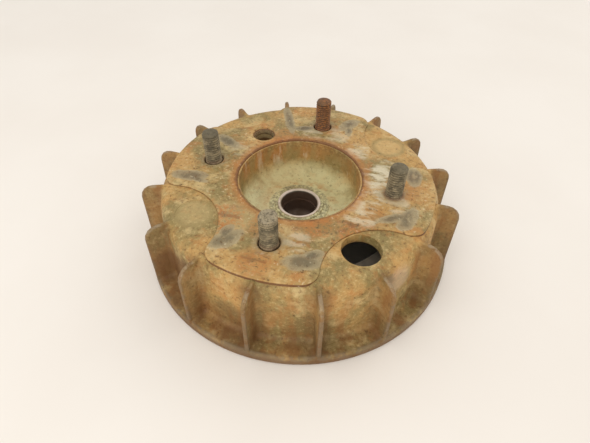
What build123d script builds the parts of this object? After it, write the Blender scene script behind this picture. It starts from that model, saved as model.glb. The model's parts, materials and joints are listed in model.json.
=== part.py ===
from build123d import *
import math
import os

# Engine flywheel with a cast cooling fan, a four-lobed driving plate on studs and a ring of
# magnets inside. Millimetres. +Z is the crankshaft axis and points away from the engine.
# Z = 0 is the plane the rim stands on; the studs lie at 0, 90, 180 and 270 degrees.

# Driving dimensions
stud_circle_radius = 45.0
stud_radius = 4.0
stud_count = 4
rim_radius = 77.2
casting_top = 38.4
plate_top = 39.3

# Cast fan body
rim_thickness = 5.2
rim_bottom_rounding = 0.8
rim_top_rounding = 1.2
rim_draft = 0.2
wall_radius = 66.3
wall_foot_radius = 67.7
wall_foot_rounding = 2.8
shoulder_rounding = 5.5
top_thickness = 4.5
inner_wall_radius = 60.5
inner_corner_rounding = 3.0
cup_outer_radius = 34.0
cup_draft = 1.0
cup_corner_rounding = 6.0
cup_floor_thickness = 4.4
skirt_radius = 24.0
skirt_bottom = 11.0
skirt_rounding = 1.0

# Recess in the middle of the top
recess_radius = 29.2
recess_foot_radius = 28.4
recess_floor = 20.2
recess_rounding = 8.0
floor_step_radius = 15.2
floor_step_height = 0.4
collar_radius = 12.3
collar_height = 1.2
collar_rounding = 0.4
floor_corner_rounding = 0.3
floor_step_rounding = 0.2

# Cooling fins
fin_count = 16
fin_thickness = 2.2
fin_edge_rounding = 0.8
fin_tip_radius = 76.0
fin_corner_rounding = 6.5
fin_root_radius = 63.0
fin_start_radius = 60.8
fin_foot_height = 3.0

# Bosses, ribs, window and marks of the casting
boss_radius = 8.5
boss_bottom = 28.9
rib_width = 5.0
rib_bottom = 30.5
window_radius = 8.5
window_centre_radius = 52.4
window_angle = 315.0
mark_radius = 8.4
mark_centre_radius = 53.2
mark_depth = 0.5
mark_angles = (45.0, 225.0)

# Countersunk blind hole
blind_hole_radius = 4.3
blind_hole_centre_radius = 40.2
blind_hole_angle = 135.0
blind_hole_depth = 8.0
countersink_radius = 6.25
blind_boss_radius = 7.0

# Four-lobed plate
plate_thickness = 3.0
plate_radius = 64.0
plate_bore_radius = 30.0
plate_hole_radius = 4.7
plate_edge_rounding = 0.4
lobe_corner_rounding = 7.0
scallop_radius = 26.0
scallop_centre_radius = 69.5
shallow_scallop_centre_radius = 76.0

# Studs, whose plain shanks are pressed into bushes
stud_top = 55.3
stud_bottom = 28.0
stud_end_rounding = 1.0
stud_shank_radius = 4.3
bush_bottom = 26.4
bush_radius = 5.5
bush_collar_radius = 6.5
bush_collar_bottom = 30.0
bush_collar_top = 34.5

# Hub
hub_top = 21.9
hub_bottom = 1.5
hub_nose_radius = 10.9
hub_nose_rounding = 0.3
hub_flange_radius = 20.0
hub_flange_bottom = 12.5
hub_flange_top = 16.5
hub_sleeve_radius = 14.0
hub_sleeve_rounding = 0.8
land_radius = 9.3
land_length = 6.0
mouth_chamfer = 0.6
taper_large_radius = 10.0
taper_ratio = 5.0
taper_chamfer = 0.4
keyway_width = 4.0
keyway_reach = 11.6
keyway_runout = 2.0

# Magnet ring
flux_ring_inner_radius = 57.5
flux_ring_outer_radius = 62.5
flux_ring_bottom = 0.8
flux_ring_top = 28.5
magnet_count = 6
magnet_span = 46.0
magnet_inner_radius = 51.2
magnet_bottom = 5.0
magnet_top = 26.5
cage_inner_radius = 50.9
cage_bottom = 3.2
cage_top = 28.3
snap_ring_inner_radius = 56.0
snap_ring_outer_radius = 58.8
snap_ring_bottom = 2.0
snap_ring_span = 346.0
lock_pin_count = 3
lock_pin_radius = 2.0
lock_pin_length = 10.0
lock_pin_start_angle = 90.0

# How far a cutting shape runs past the face it opens, and how near counts as touching
overshoot = 1.0
touch = 0.01
# A scallop's corners lie at least this many degrees from the middle of a lobe
lobe_corner_least_angle = 5.0

full_turn = 360.0
bearings = {"right": 0.0, "rear": 90.0, "left": 180.0, "front": 270.0}


def at(radius, angle, height=0.0):
    """Location on a circle about the crankshaft axis, with local X pointing outwards."""
    return Rot(0, 0, angle) * Pos(radius, 0, height)


def turned(corners, span=full_turn):
    """Body of revolution about Z, from corners given as (radius, height, rounding)."""
    points = [(radius, height) for radius, height, rounding in corners]
    roundings = [rounding for radius, height, rounding in corners]
    outline = FilletPolyline(*points, radius=roundings, close=True)
    return revolve(make_face(Plane.XZ * outline), Axis.Z, span)


def ring(inner, outer, bottom, top, span=full_turn):
    """Square-edged ring, or a sector of one that starts at angle 0."""
    return turned([(inner, bottom, 0), (outer, bottom, 0), (outer, top, 0), (inner, top, 0)], span)


def upright(radius, bottom, top):
    """Plain cylinder along Z between two heights."""
    return Pos(0, 0, (bottom + top) / 2) * Cylinder(radius, top - bottom)


def casting_section():
    """Corners of the fan body's section, from the hub nose outwards over the top and back inside."""
    floor = recess_floor + floor_step_height
    underside = recess_floor - cup_floor_thickness
    ceiling = casting_top - top_thickness
    recess = [
        (hub_nose_radius, recess_floor + collar_height, 0),
        (collar_radius, recess_floor + collar_height, collar_rounding),
        (collar_radius, floor, floor_corner_rounding),
        (floor_step_radius, floor, floor_step_rounding),
        (floor_step_radius, recess_floor, 0),
        (recess_foot_radius, recess_floor, recess_rounding),
        (recess_radius, casting_top, 0),
    ]
    outside = [
        (wall_radius, casting_top, shoulder_rounding),
        (wall_foot_radius, rim_thickness, wall_foot_rounding),
        (rim_radius - rim_draft, rim_thickness, rim_top_rounding),
        (rim_radius, 0, rim_bottom_rounding),
    ]
    inside = [
        (flux_ring_outer_radius, 0, 0),
        (flux_ring_outer_radius, flux_ring_top, 0),
        (inner_wall_radius, flux_ring_top, 0),
        (inner_wall_radius, ceiling, inner_corner_rounding),
        (cup_outer_radius, ceiling, inner_corner_rounding),
        (cup_outer_radius - cup_draft, underside, cup_corner_rounding),
        (skirt_radius, underside, skirt_rounding),
        (skirt_radius, skirt_bottom, skirt_rounding),
        (hub_sleeve_radius, skirt_bottom, 0),
        (hub_sleeve_radius, hub_flange_bottom, 0),
        (hub_flange_radius, hub_flange_bottom, 0),
        (hub_flange_radius, hub_flange_top, 0),
        (hub_nose_radius, hub_flange_top, 0),
    ]
    return recess + outside + inside


def cooling_fin():
    """One radial fin at angle 0: its top runs level from the shoulder and its tip stands on the rim."""
    corners = [
        (fin_start_radius, casting_top, 0),
        (fin_tip_radius, casting_top, fin_corner_rounding),
        (rim_radius - rim_draft, fin_foot_height, 0),
        (fin_root_radius, fin_foot_height, 0),
        (fin_root_radius, casting_top - top_thickness / 2, 0),
        (fin_start_radius, casting_top - top_thickness / 2, 0),
    ]
    points = [(radius, height) for radius, height, rounding in corners]
    roundings = [rounding for radius, height, rounding in corners]
    outline = make_face(Plane.XZ * FilletPolyline(*points, radius=roundings, close=True))
    fin = extrude(outline, amount=fin_thickness / 2, both=True)
    edges = [edge for edge in fin.edges() if is_free_fin_edge(edge)]
    return fillet(edges, fin_edge_rounding)


def is_free_fin_edge(edge):
    """True for the long edges along the fin's top, corner and tip."""
    middle = edge @ 0.5
    along_face = abs(abs(middle.Y) - fin_thickness / 2) < touch
    on_tip = middle.X > fin_tip_radius - fin_corner_rounding / 2
    on_top = middle.Z > casting_top - touch
    return along_face and (on_tip or on_top)


def plate_outline():
    """Flat four-lobed shape: a disc with four scallops and rounded lobe corners."""
    shape = Circle(plate_radius)
    half_step = full_turn / stud_count / 2
    for bearing in bearings.values():
        angle = bearing + half_step
        centre = scallop_centre_radius
        if angle == blind_hole_angle:
            centre = shallow_scallop_centre_radius
        shape -= at(centre, angle) * Circle(scallop_radius)
    corners = [vertex for vertex in shape.vertices() if is_lobe_corner(vertex)]
    return fillet(corners, lobe_corner_rounding)


def is_lobe_corner(vertex):
    """True for the points where a scallop cuts the plate's rim, away from the lobes' middles."""
    quarter = math.radians(full_turn / stud_count)
    from_lobe_middle = math.atan2(vertex.Y, vertex.X) % quarter
    return min(from_lobe_middle, quarter - from_lobe_middle) > math.radians(lobe_corner_least_angle)


def blind_hole():
    """Countersunk blind hole's space, at its own place, cut through the plate into the casting."""
    bottom = plate_top - blind_hole_depth
    countersink_depth = countersink_radius - blind_hole_radius
    space = turned([
        (0, bottom, 0),
        (blind_hole_radius, bottom, 0),
        (blind_hole_radius, plate_top - countersink_depth, 0),
        (countersink_radius, plate_top, 0),
        (countersink_radius, plate_top + overshoot, 0),
        (0, plate_top + overshoot, 0),
    ])
    return at(blind_hole_centre_radius, blind_hole_angle) * space


def stud_bush():
    """Steel bush cast into the boss under a stud, with a locking collar round it."""
    plate_seat = plate_top - plate_thickness
    return turned([
        (stud_shank_radius, bush_bottom, 0),
        (bush_radius, bush_bottom, 0),
        (bush_radius, bush_collar_bottom, 0),
        (bush_collar_radius, bush_collar_bottom, 0),
        (bush_collar_radius, bush_collar_top, 0),
        (bush_radius, bush_collar_top, 0),
        (bush_radius, plate_seat, 0),
        (stud_shank_radius, plate_seat, 0),
    ])


def lock_pins():
    """Pins pressed in along the joint between casting and flux ring, so the ring can't turn."""
    pin = upright(lock_pin_radius, flux_ring_bottom, flux_ring_bottom + lock_pin_length)
    step = full_turn / lock_pin_count
    return [
        at(flux_ring_outer_radius, lock_pin_start_angle + index * step) * pin
        for index in range(lock_pin_count)
    ]


def plate_space():
    """The plate's shape without its holes, at its own height."""
    return Pos(0, 0, plate_top - plate_thickness) * extrude(plate_outline(), amount=plate_thickness)


def cooling_fins():
    """The fins, which are cast onto the fan body: each ends at the face of the wall, rim and plate."""
    fin = cooling_fin() - turned(casting_section())
    fins = [Rot(0, 0, index * full_turn / fin_count) * fin for index in range(fin_count)]
    return Part() + fins - plate_space()


def fan_body():
    """Cast aluminium fan without its fins: top, recess, wall, rim, bosses and ribs."""
    ceiling = casting_top - top_thickness
    plate_seat = plate_top - plate_thickness
    body = turned(casting_section())
    rib_length = inner_wall_radius - cup_outer_radius + 2 * overshoot
    rib_middle = (inner_wall_radius + cup_outer_radius) / 2
    rib_top = ceiling + overshoot
    rib = Pos(rib_middle, 0, (rib_bottom + rib_top) / 2)
    rib = rib * Box(rib_length, rib_width, rib_top - rib_bottom)
    for angle in bearings.values():
        body += Rot(0, 0, angle) * rib
        body += at(stud_circle_radius, angle) * upright(boss_radius, boss_bottom, rib_top)
    body += at(blind_hole_centre_radius, blind_hole_angle) * upright(
        blind_boss_radius, boss_bottom, rib_top
    )
    body -= plate_space()
    for angle in bearings.values():
        body -= at(stud_circle_radius, angle) * upright(
            stud_shank_radius, bush_bottom, plate_seat
        )
        body -= at(stud_circle_radius, angle) * stud_bush()
    body -= at(window_centre_radius, window_angle) * upright(window_radius, rib_bottom, plate_top)
    for angle in mark_angles:
        body -= at(mark_centre_radius, angle) * upright(
            mark_radius, casting_top - mark_depth, plate_top
        )
    body -= blind_hole()
    for pin in lock_pins():
        body -= pin
    for pin in lock_pins():
        body -= Pos(0, 0, -flux_ring_bottom) * pin
    return body


def mounting_plate():
    """Four-lobed steel plate, let into the casting, with clearance holes for the studs."""
    plate = plate_space()
    cut_bottom = plate_top - plate_thickness - overshoot
    cut_top = plate_top + overshoot
    plate -= upright(plate_bore_radius, cut_bottom, cut_top)
    top_edges = plate.edges().filter_by_position(Axis.Z, plate_top - touch, plate_top + touch)
    plate = fillet(top_edges, plate_edge_rounding)
    for angle in bearings.values():
        plate -= at(stud_circle_radius, angle) * upright(plate_hole_radius, cut_bottom, cut_top)
    plate -= blind_hole()
    return plate


def hub():
    """Steel hub cast into the middle: nose, locking flange, sleeve, tapered bore and keyway."""
    taper_top = hub_top - land_length
    taper_bottom = hub_bottom + taper_chamfer
    taper_small_radius = taper_large_radius - (taper_top - taper_bottom) / taper_ratio / 2
    body = turned([
        (land_radius, taper_top, 0),
        (land_radius, hub_top - mouth_chamfer, 0),
        (land_radius + mouth_chamfer, hub_top, 0),
        (hub_nose_radius, hub_top, hub_nose_rounding),
        (hub_nose_radius, hub_flange_top, 0),
        (hub_flange_radius, hub_flange_top, 0),
        (hub_flange_radius, hub_flange_bottom, 0),
        (hub_sleeve_radius, hub_flange_bottom, 0),
        (hub_sleeve_radius, hub_bottom, hub_sleeve_rounding),
        (taper_large_radius + taper_chamfer, hub_bottom, 0),
        (taper_large_radius, taper_bottom, 0),
        (taper_small_radius, taper_top, 0),
    ])
    keyway_height = taper_top - hub_bottom + keyway_runout
    keyway = Pos(keyway_reach / 2, 0, taper_top - keyway_height / 2)
    return body - keyway * Box(keyway_reach, keyway_width, keyway_height)


def stud():
    """M8 stud at its thread's outer diameter, with rounded ends and a thicker shank up to the plate."""
    return turned([
        (0, stud_bottom, 0),
        (stud_shank_radius, stud_bottom, stud_end_rounding),
        (stud_shank_radius, plate_top, 0),
        (stud_radius, plate_top, 0),
        (stud_radius, stud_top, stud_end_rounding),
        (0, stud_top, 0),
    ])


def flux_ring():
    """Steel ring that backs the magnets, grooved near its mouth for the snap ring."""
    groove_top = cage_bottom
    body = turned([
        (flux_ring_inner_radius, flux_ring_bottom, 0),
        (flux_ring_outer_radius, flux_ring_bottom, 0),
        (flux_ring_outer_radius, flux_ring_top, 0),
        (flux_ring_inner_radius, flux_ring_top, 0),
        (flux_ring_inner_radius, groove_top, 0),
        (snap_ring_outer_radius, groove_top, 0),
        (snap_ring_outer_radius, snap_ring_bottom, 0),
        (flux_ring_inner_radius, snap_ring_bottom, 0),
    ])
    for pin in lock_pins():
        body -= pin
    return body


def magnets():
    """Arc magnets, evenly spaced round the flux ring."""
    magnet = ring(magnet_inner_radius, flux_ring_inner_radius, magnet_bottom, magnet_top, magnet_span)
    step = full_turn / magnet_count
    return [Rot(0, 0, index * step - magnet_span / 2) * magnet for index in range(magnet_count)]


def magnet_cage():
    """One-piece cage whose bars hold the magnets apart."""
    cage = ring(cage_inner_radius, flux_ring_inner_radius, cage_bottom, cage_top)
    pocket_inner = cage_inner_radius - overshoot
    pocket_outer = flux_ring_inner_radius + overshoot
    pocket = ring(pocket_inner, pocket_outer, magnet_bottom, magnet_top, magnet_span)
    step = full_turn / magnet_count
    for index in range(magnet_count):
        cage -= Rot(0, 0, index * step - magnet_span / 2) * pocket
    return cage


def snap_ring():
    """Open spring ring in the flux ring's groove, which keeps the cage from dropping out."""
    gap = full_turn - snap_ring_span
    body = ring(snap_ring_inner_radius, snap_ring_outer_radius, snap_ring_bottom, cage_bottom, snap_ring_span)
    return Rot(0, 0, bearings["front"] + gap / 2) * body


def all_nodes():
    """Every separate piece under its own name."""
    nodes = {
        "fan_body": fan_body(),
        "cooling_fins": cooling_fins(),
        "mounting_plate": mounting_plate(),
        "hub": hub(),
        "flux_ring": flux_ring(),
        "magnet_cage": magnet_cage(),
        "snap_ring": snap_ring(),
    }
    for name, angle in bearings.items():
        nodes["stud_" + name] = at(stud_circle_radius, angle) * stud()
        nodes["stud_bush_" + name] = at(stud_circle_radius, angle) * stud_bush()
    for index, magnet in enumerate(magnets(), start=1):
        nodes[f"magnet_{index}"] = magnet
    for index, pin in enumerate(lock_pins(), start=1):
        nodes[f"lock_pin_{index}"] = pin
    return nodes


os.makedirs("parts", exist_ok=True)
for node_name, shape in all_nodes().items():
    export_step(shape, f"parts/{node_name}.step")
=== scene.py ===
import json
import math

import bmesh
import bpy
from bpy.props import FloatProperty, FloatVectorProperty, IntProperty, PointerProperty
from mathutils import Matrix, Quaternion, Vector, noise


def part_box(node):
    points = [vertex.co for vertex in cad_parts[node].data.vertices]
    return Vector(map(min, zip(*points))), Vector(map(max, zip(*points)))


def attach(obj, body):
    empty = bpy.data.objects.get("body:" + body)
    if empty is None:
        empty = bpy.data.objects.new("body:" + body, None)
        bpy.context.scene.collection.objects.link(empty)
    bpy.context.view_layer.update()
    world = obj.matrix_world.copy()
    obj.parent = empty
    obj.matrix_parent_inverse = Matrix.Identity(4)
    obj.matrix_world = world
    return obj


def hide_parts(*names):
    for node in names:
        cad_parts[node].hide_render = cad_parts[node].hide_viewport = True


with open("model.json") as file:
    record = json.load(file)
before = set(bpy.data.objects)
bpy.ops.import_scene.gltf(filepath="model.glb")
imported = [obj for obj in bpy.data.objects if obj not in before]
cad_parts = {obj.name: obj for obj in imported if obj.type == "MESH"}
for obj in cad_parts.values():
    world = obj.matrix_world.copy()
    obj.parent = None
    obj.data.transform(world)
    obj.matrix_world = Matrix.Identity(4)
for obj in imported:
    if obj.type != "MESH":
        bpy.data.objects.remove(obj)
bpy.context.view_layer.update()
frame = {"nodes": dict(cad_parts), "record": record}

bl_info = {
    "name": "Fan Flywheel",
    "version": (1, 0, 0),
    "blender": (4, 5, 0),
    "location": "View3D > Sidebar > Flywheel",
    "description": "Builds a weathered cast fan flywheel with a lobed drive plate and threaded studs",
    "category": "Add Mesh",
}

MM = 0.001
TOUCHING = 0.01 * MM
MERGE_GAP = 0.004 * MM
ROW_GAP = 0.02 * MM
FULL_TURN = 2 * math.pi
BEARINGS = {"right": 0.0, "rear": 90.0, "left": 180.0, "front": 270.0}
MOUNTS = {mount["name"]: mount for mount in frame["record"]["mounts"]}
DIMS = {name: mount["dims"] for name, mount in MOUNTS.items() if mount.get("dims")}

# Heights and radii that the frame gives, in metres
PLATE_LOW, PLATE_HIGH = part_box("mounting_plate")
BODY_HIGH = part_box("fan_body")[1]
RING_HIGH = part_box("flux_ring")[1]
HUB_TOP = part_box("hub")[1].z
STUD_LOW, STUD_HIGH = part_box("stud_right")
BUSH_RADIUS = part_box("stud_bush_right")[1].y
PLATE_TOP = PLATE_HIGH.z
PLATE_SEAT = PLATE_LOW.z
PLATE_RADIUS = PLATE_HIGH.x
CASTING_TOP = BODY_HIGH.z
RIM_RADIUS = BODY_HIGH.x
SEAT_RADIUS = RING_HIGH.x
SEAT_TOP = RING_HIGH.z
STUD_CIRCLE = DIMS["studs"]["pcd_mm"] / 2 * MM
STUD_RADIUS = DIMS["studs"]["stud_r_mm"] * MM
RECESS_RADIUS = DIMS["recess_register"]["r_mm"] * MM
PIN_HOLE = Vector(MOUNTS["drive_pin_hole"]["pos_m"])
PIN_HOLE_RADIUS = DIMS["drive_pin_hole"]["r_mm"] * MM


def length(name, text, size):
    """A length property whose default is given in millimetres."""
    return FloatProperty(name=name, description=text, default=size * MM, unit="LENGTH", precision=5)


def colour(name, text, red, green, blue):
    """A colour property from display values of 0 to 255."""
    linear = [((c / 255 + 0.055) / 1.055) ** 2.4 for c in (red, green, blue)]
    return FloatVectorProperty(
        name=name, description=text, default=(*linear, 1.0), size=4, subtype="COLOR", min=0, max=1
    )


class FlywheelSizes(bpy.types.PropertyGroup):
    """Sizes of the pieces that are modelled here."""
    fins: IntProperty(name="Fins", description="Cooling fins round the wall", default=16, min=8, max=24)
    fin_tip: length("Fin tip", "Radius of the fins' tips at the top", 76.0)
    fin_corner: length("Fin corner", "Rounding where a fin's top turns down into its tip", 6.5)
    fin_fillet: length("Fin fillet", "Rounding where a fin meets the wall", 2.2)
    fin_edge: length("Fin edge", "Rounding along a fin's free edge", 0.85)
    shoulder: length("Shoulder", "Rounding between the top and the wall", 5.8)
    wall: length("Wall", "Radius of the wall below the shoulder", 66.3)
    wall_foot: length("Wall foot", "Radius of the wall where it meets the rim", 67.7)
    rim_height: length("Rim height", "Thickness of the rim's flange", 5.2)
    lobe_corner: length("Lobe corner", "Rounding of the plate's lobe corners", 7.0)
    scallop: length("Scallop", "Radius of the cut-outs between the plate's lobes", 26.0)
    scallop_centre: length("Scallop centre", "Distance of the cut-outs' centres from the axis", 69.5)
    shallow_centre: length("Shallow scallop", "The same for the cut-out behind the pin hole", 76.0)
    plate_edge: length("Plate edge", "Wear rounding along the plate's edges", 0.45)
    thread_pitch: length("Thread pitch", "Pitch of the studs' threads", 1.25)
    thread_depth: length("Thread depth", "Depth of the studs' threads", 0.62)


class FlywheelColours(bpy.types.PropertyGroup):
    """Colours of the finishes."""
    casting: colour("Casting", "Weathered tan of the casting", 188, 148, 88)
    # The stain colour is also laid as painted shade by the fins' roots, along the fins' edges and inside
    # under the top.
    casting_dark: colour("Stain", "Dark oil stain between the fins", 104, 70, 36)
    casting_olive: colour("Olive film", "Olive film on the casting", 140, 122, 74)
    casting_pale: colour("Pale film", "Pale oxide on the casting", 206, 180, 126)
    bare: colour("Bare metal", "Scuffed bare aluminium", 176, 162, 136)
    rust: colour("Rust", "Orange rust of the drive plate", 176, 112, 52)
    rust_deep: colour("Deep rust", "Dark rust in corners and threads", 100, 60, 34)
    salt: colour("White corrosion", "Whitish corrosion of the drive plate", 214, 202, 172)
    galled: colour("Galled steel", "Grey rubbed steel beside the studs", 164, 148, 114)
    recess: colour("Recess film", "Greenish cream film on the recess floor", 208, 200, 150)
    hub_steel: colour("Hub steel", "Machined end of the hub", 226, 210, 196)
    stud_grey: colour("Stud grey", "Dark grey film on the studs", 98, 88, 66)
    floor: colour("Floor", "Pale floor", 240, 234, 226)


def sizes():
    return bpy.context.scene.flywheel_sizes


def colours():
    return bpy.context.scene.flywheel_colours


def on_circle(radius, degrees):
    angle = math.radians(degrees)
    return radius * math.cos(angle), radius * math.sin(angle)


# Angles of the mesh's columns from a fin's middle plane, in degrees, and the fin's own half width
COLUMNS = (0.0, 0.4, 0.65, 0.85, 1.15, 1.6, 2.4, 4.2, 6.6, 9.0, 11.25)
FIN_HALF_WIDTH = math.radians(0.85)
SHOULDER_START = 33.0 * MM
TOP_THICKNESS = 4.5 * MM
CUP_RADIUS = 34.0 * MM
SECTION_STRAIGHT = 2.4 * MM
RECESS_FLOOR = 20.2 * MM
RECESS_THICKNESS = 4.4 * MM
RECESS_CORNER = 8.0 * MM
INNER_RING_RISE = 0.4 * MM
COLLAR_RISE = 1.2 * MM
FLOOR_STEP_RADIUS = 15.2 * MM
COLLAR_RADIUS = 12.3 * MM
SKIRT_RADIUS = 24.0 * MM
HUB_NOSE_RADIUS = 10.9 * MM
HUB_SLEEVE_RADIUS = 14.0 * MM
INNER_WALL_RADIUS = 60.5 * MM
BOSS_BOTTOM = 28.9 * MM
BOSS_RADIUS = 8.5 * MM
PIN_BOSS_RADIUS = 7.0 * MM
RIB_BOTTOM = 30.5 * MM
RIB_WIDTH = 5.0 * MM
RIB_EDGE = 1.2 * MM
SKIRT_BOTTOM = 11.0 * MM
SLEEVE_TOP = HUB_TOP - 9.4 * MM
CEILING = CASTING_TOP - TOP_THICKNESS
PLATE_HOLE_RADIUS = 4.7 * MM
PIN_HOLE_DEPTH = 8.0 * MM
PIN_HOLE_FLARE = 1.95 * MM
WINDOW_RADIUS = 8.5 * MM
WINDOW_CUT_BOTTOM = 30.0 * MM
WINDOW_CENTRE = on_circle(52.4 * MM, 315)
MARK_RADIUS = 8.4 * MM
MARK_CENTRES = (on_circle(53.2 * MM, 45), on_circle(53.2 * MM, 225))
MARK_DEPTH = 0.15 * MM
STUD_CHAMFER = 0.5 * MM
THREAD_STRAIGHT = 0.15 * MM
RUN_OUT = 1.6 * MM


# ---------------- modelling by hand


def deselect():
    """Leaves edit mode and deselects everything."""
    if bpy.context.object and bpy.context.object.mode != "OBJECT":
        bpy.ops.object.mode_set(mode="OBJECT")
    bpy.ops.object.select_all(action="DESELECT")


def activate(piece):
    """Selects one piece alone and makes it the active one."""
    deselect()
    piece.select_set(True)
    bpy.context.view_layer.objects.active = piece


def edit(piece):
    """Enters edit mode on a piece and returns its editable mesh."""
    activate(piece)
    bpy.ops.object.mode_set(mode="EDIT")
    return bmesh.from_edit_mesh(piece.data)


def pick(piece, test, kind="faces"):
    """In edit mode, selects the faces, edges or vertices that pass a test."""
    modes = {"verts": "VERT", "edges": "EDGE", "faces": "FACE"}
    bpy.ops.mesh.select_mode(type=modes[kind])
    bpy.ops.mesh.select_all(action="DESELECT")
    mesh = bmesh.from_edit_mesh(piece.data)
    for element in getattr(mesh, kind):
        element.select_set(test(element))
    mesh.select_flush_mode()
    bmesh.update_edit_mesh(piece.data)


def finish_modifier(piece, kind, **settings):
    """Adds a modifier, sets it and applies it."""
    activate(piece)
    modifier = piece.modifiers.new(kind.lower(), kind)
    for name, value in settings.items():
        setattr(modifier, name, value)
    bpy.ops.object.modifier_apply(modifier=modifier.name)


def rounded(corners, longest):
    """Points of a closed outline from corners (across, up, rounding); straights are cut to a length."""
    count = len(corners)
    points = []
    for index, (across, up, rounding) in enumerate(corners):
        corner = Vector((across, up))
        back = (Vector(corners[index - 1][:2]) - corner).normalized()
        ahead = (Vector(corners[(index + 1) % count][:2]) - corner).normalized()
        if rounding == 0:
            points.append(corner)
            continue
        half = back.angle(ahead) / 2
        centre = corner + (back + ahead).normalized() * (rounding / math.sin(half))
        first = corner + back * (rounding / math.tan(half)) - centre
        last = corner + ahead * (rounding / math.tan(half)) - centre
        steps = max(2, round(first.angle(last) / math.radians(11)))
        for step in range(steps + 1):
            points.append(centre + first.slerp(last, step / steps).normalized() * rounding)
    outline = []
    for index, start in enumerate(points):
        end = points[(index + 1) % len(points)]
        pieces = max(1, math.ceil((end - start).length / longest))
        outline += [start.lerp(end, part / pieces) for part in range(pieces)]
    return outline


def draw_chain(name, points, closed=True):
    """A chain of edges drawn by extruding one vertex from point to point."""
    deselect()
    bpy.ops.mesh.primitive_plane_add(size=MM, location=(0, 0, 0))
    piece = bpy.context.object
    piece.name = name
    piece.data.name = name
    bpy.ops.object.mode_set(mode="EDIT")
    bpy.ops.mesh.select_all(action="SELECT")
    bpy.ops.mesh.merge(type="CENTER")
    bpy.ops.transform.translate(value=points[0])
    for start, end in zip(points, points[1:]):
        bpy.ops.mesh.extrude_vertices_move(TRANSFORM_OT_translate={"value": end - start})
    if closed:
        pick(piece, lambda vertex: len(vertex.link_edges) == 1, "verts")
        bpy.ops.mesh.edge_face_add()
    return piece


def draw_section(name, corners, longest):
    """A closed section in the XZ plane, drawn from rounded corners."""
    points = [Vector((point.x, 0, point.y)) for point in rounded(corners, longest)]
    return draw_chain(name, points)


def spin_section(piece, steps, angle=FULL_TURN):
    """Spins the whole section about Z."""
    pick(piece, lambda vertex: True, "verts")
    bpy.ops.mesh.spin(steps=steps, angle=angle, center=(0, 0, 0), axis=(0, 0, 1))


def close_seams(piece, gap=MERGE_GAP):
    """Merges doubles and turns every face outwards."""
    edit(piece)
    bpy.ops.mesh.select_all(action="SELECT")
    bpy.ops.mesh.remove_doubles(threshold=gap)
    bpy.ops.mesh.normals_make_consistent(inside=False)
    bpy.ops.object.mode_set(mode="OBJECT")


def smooth(piece, degrees=32):
    """Smooth shading with sharp edges past an angle."""
    activate(piece)
    bpy.ops.object.shade_smooth_by_angle(angle=math.radians(degrees))


def turned(name, corners, steps=96, longest=1.0):
    """A closed turned piece about Z from rounded corners (radius, height, rounding)."""
    piece = draw_section(name, corners, longest)
    spin_section(piece, steps)
    close_seams(piece)
    return piece


def join(pieces, name):
    """Joins pieces into the first one."""
    deselect()
    for piece in pieces:
        piece.select_set(True)
    bpy.context.view_layer.objects.active = pieces[0]
    bpy.ops.object.join()
    pieces[0].name = name
    pieces[0].data.name = name
    return pieces[0]


def copy_turned(piece, angle, about=(0, 0)):
    """A copy of a piece with its own mesh, turned about Z."""
    twin = piece.copy()
    twin.data = piece.data.copy()
    bpy.context.collection.objects.link(twin)
    centre = Matrix.Translation((*about, 0))
    twin.data.transform(centre @ Matrix.Rotation(angle, 4, "Z") @ centre.inverted())
    return twin


def post(name, radius, bottom, top, x, y, around=48):
    """A plain upright round used for cutting and joining."""
    deselect()
    bpy.ops.mesh.primitive_cylinder_add(
        vertices=around, radius=radius, depth=top - bottom, location=(x, y, (bottom + top) / 2)
    )
    piece = bpy.context.object
    piece.name = name
    bpy.ops.object.transform_apply(location=True, rotation=True, scale=True)
    return piece


def combine(piece, tools, operation):
    """Cuts or joins a piece with tools, which are used up."""
    tool = join(tools, "tool")
    finish_modifier(piece, "BOOLEAN", object=tool, operation=operation, solver="EXACT")
    bpy.data.objects.remove(tool)


def keep(piece, slot, finish, *nodes):
    """Gives a finished piece its finish, body and the CAD nodes it stands for; its slot is not used."""
    piece.data.materials.clear()
    piece.data.materials.append(finish)
    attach(piece, "root")
    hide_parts(*nodes)


# ---------------- shader maths


class Field:
    """A number or colour socket; expressions on numbers add Math nodes."""

    def __init__(self, finish, socket):
        self.finish = finish
        self.socket = socket

    def maths(self, operation, *others, clamp=False):
        return self.finish.add(
            "ShaderNodeMath", {"operation": operation, "use_clamp": clamp}, self, *others
        )[0]

    def __add__(self, other):
        return self.maths("ADD", other)

    def __mul__(self, other):
        return self.maths("MULTIPLY", other)

    def __sub__(self, other):
        return self.maths("SUBTRACT", other)

    def __truediv__(self, other):
        return self.maths("DIVIDE", other)

    def __rsub__(self, other):
        return (self * -1) + other

    __radd__ = __add__
    __rmul__ = __mul__

    def clamp(self):
        return self.maths("ADD", 0.0, clamp=True)

    def least(self, other):
        return self.maths("MINIMUM", other)

    def step(self, low, high):
        """0 below low, 1 above high, smooth between; low above high turns it round."""
        return self.finish.add(
            "ShaderNodeMapRange",
            {"interpolation_type": "SMOOTHSTEP"},
            self, low, high, 0.0, 1.0,
        )[0]

    def ramp(self, low, high):
        """The same step between two lengths in millimetres."""
        return self.step(low * MM, high * MM)


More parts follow.
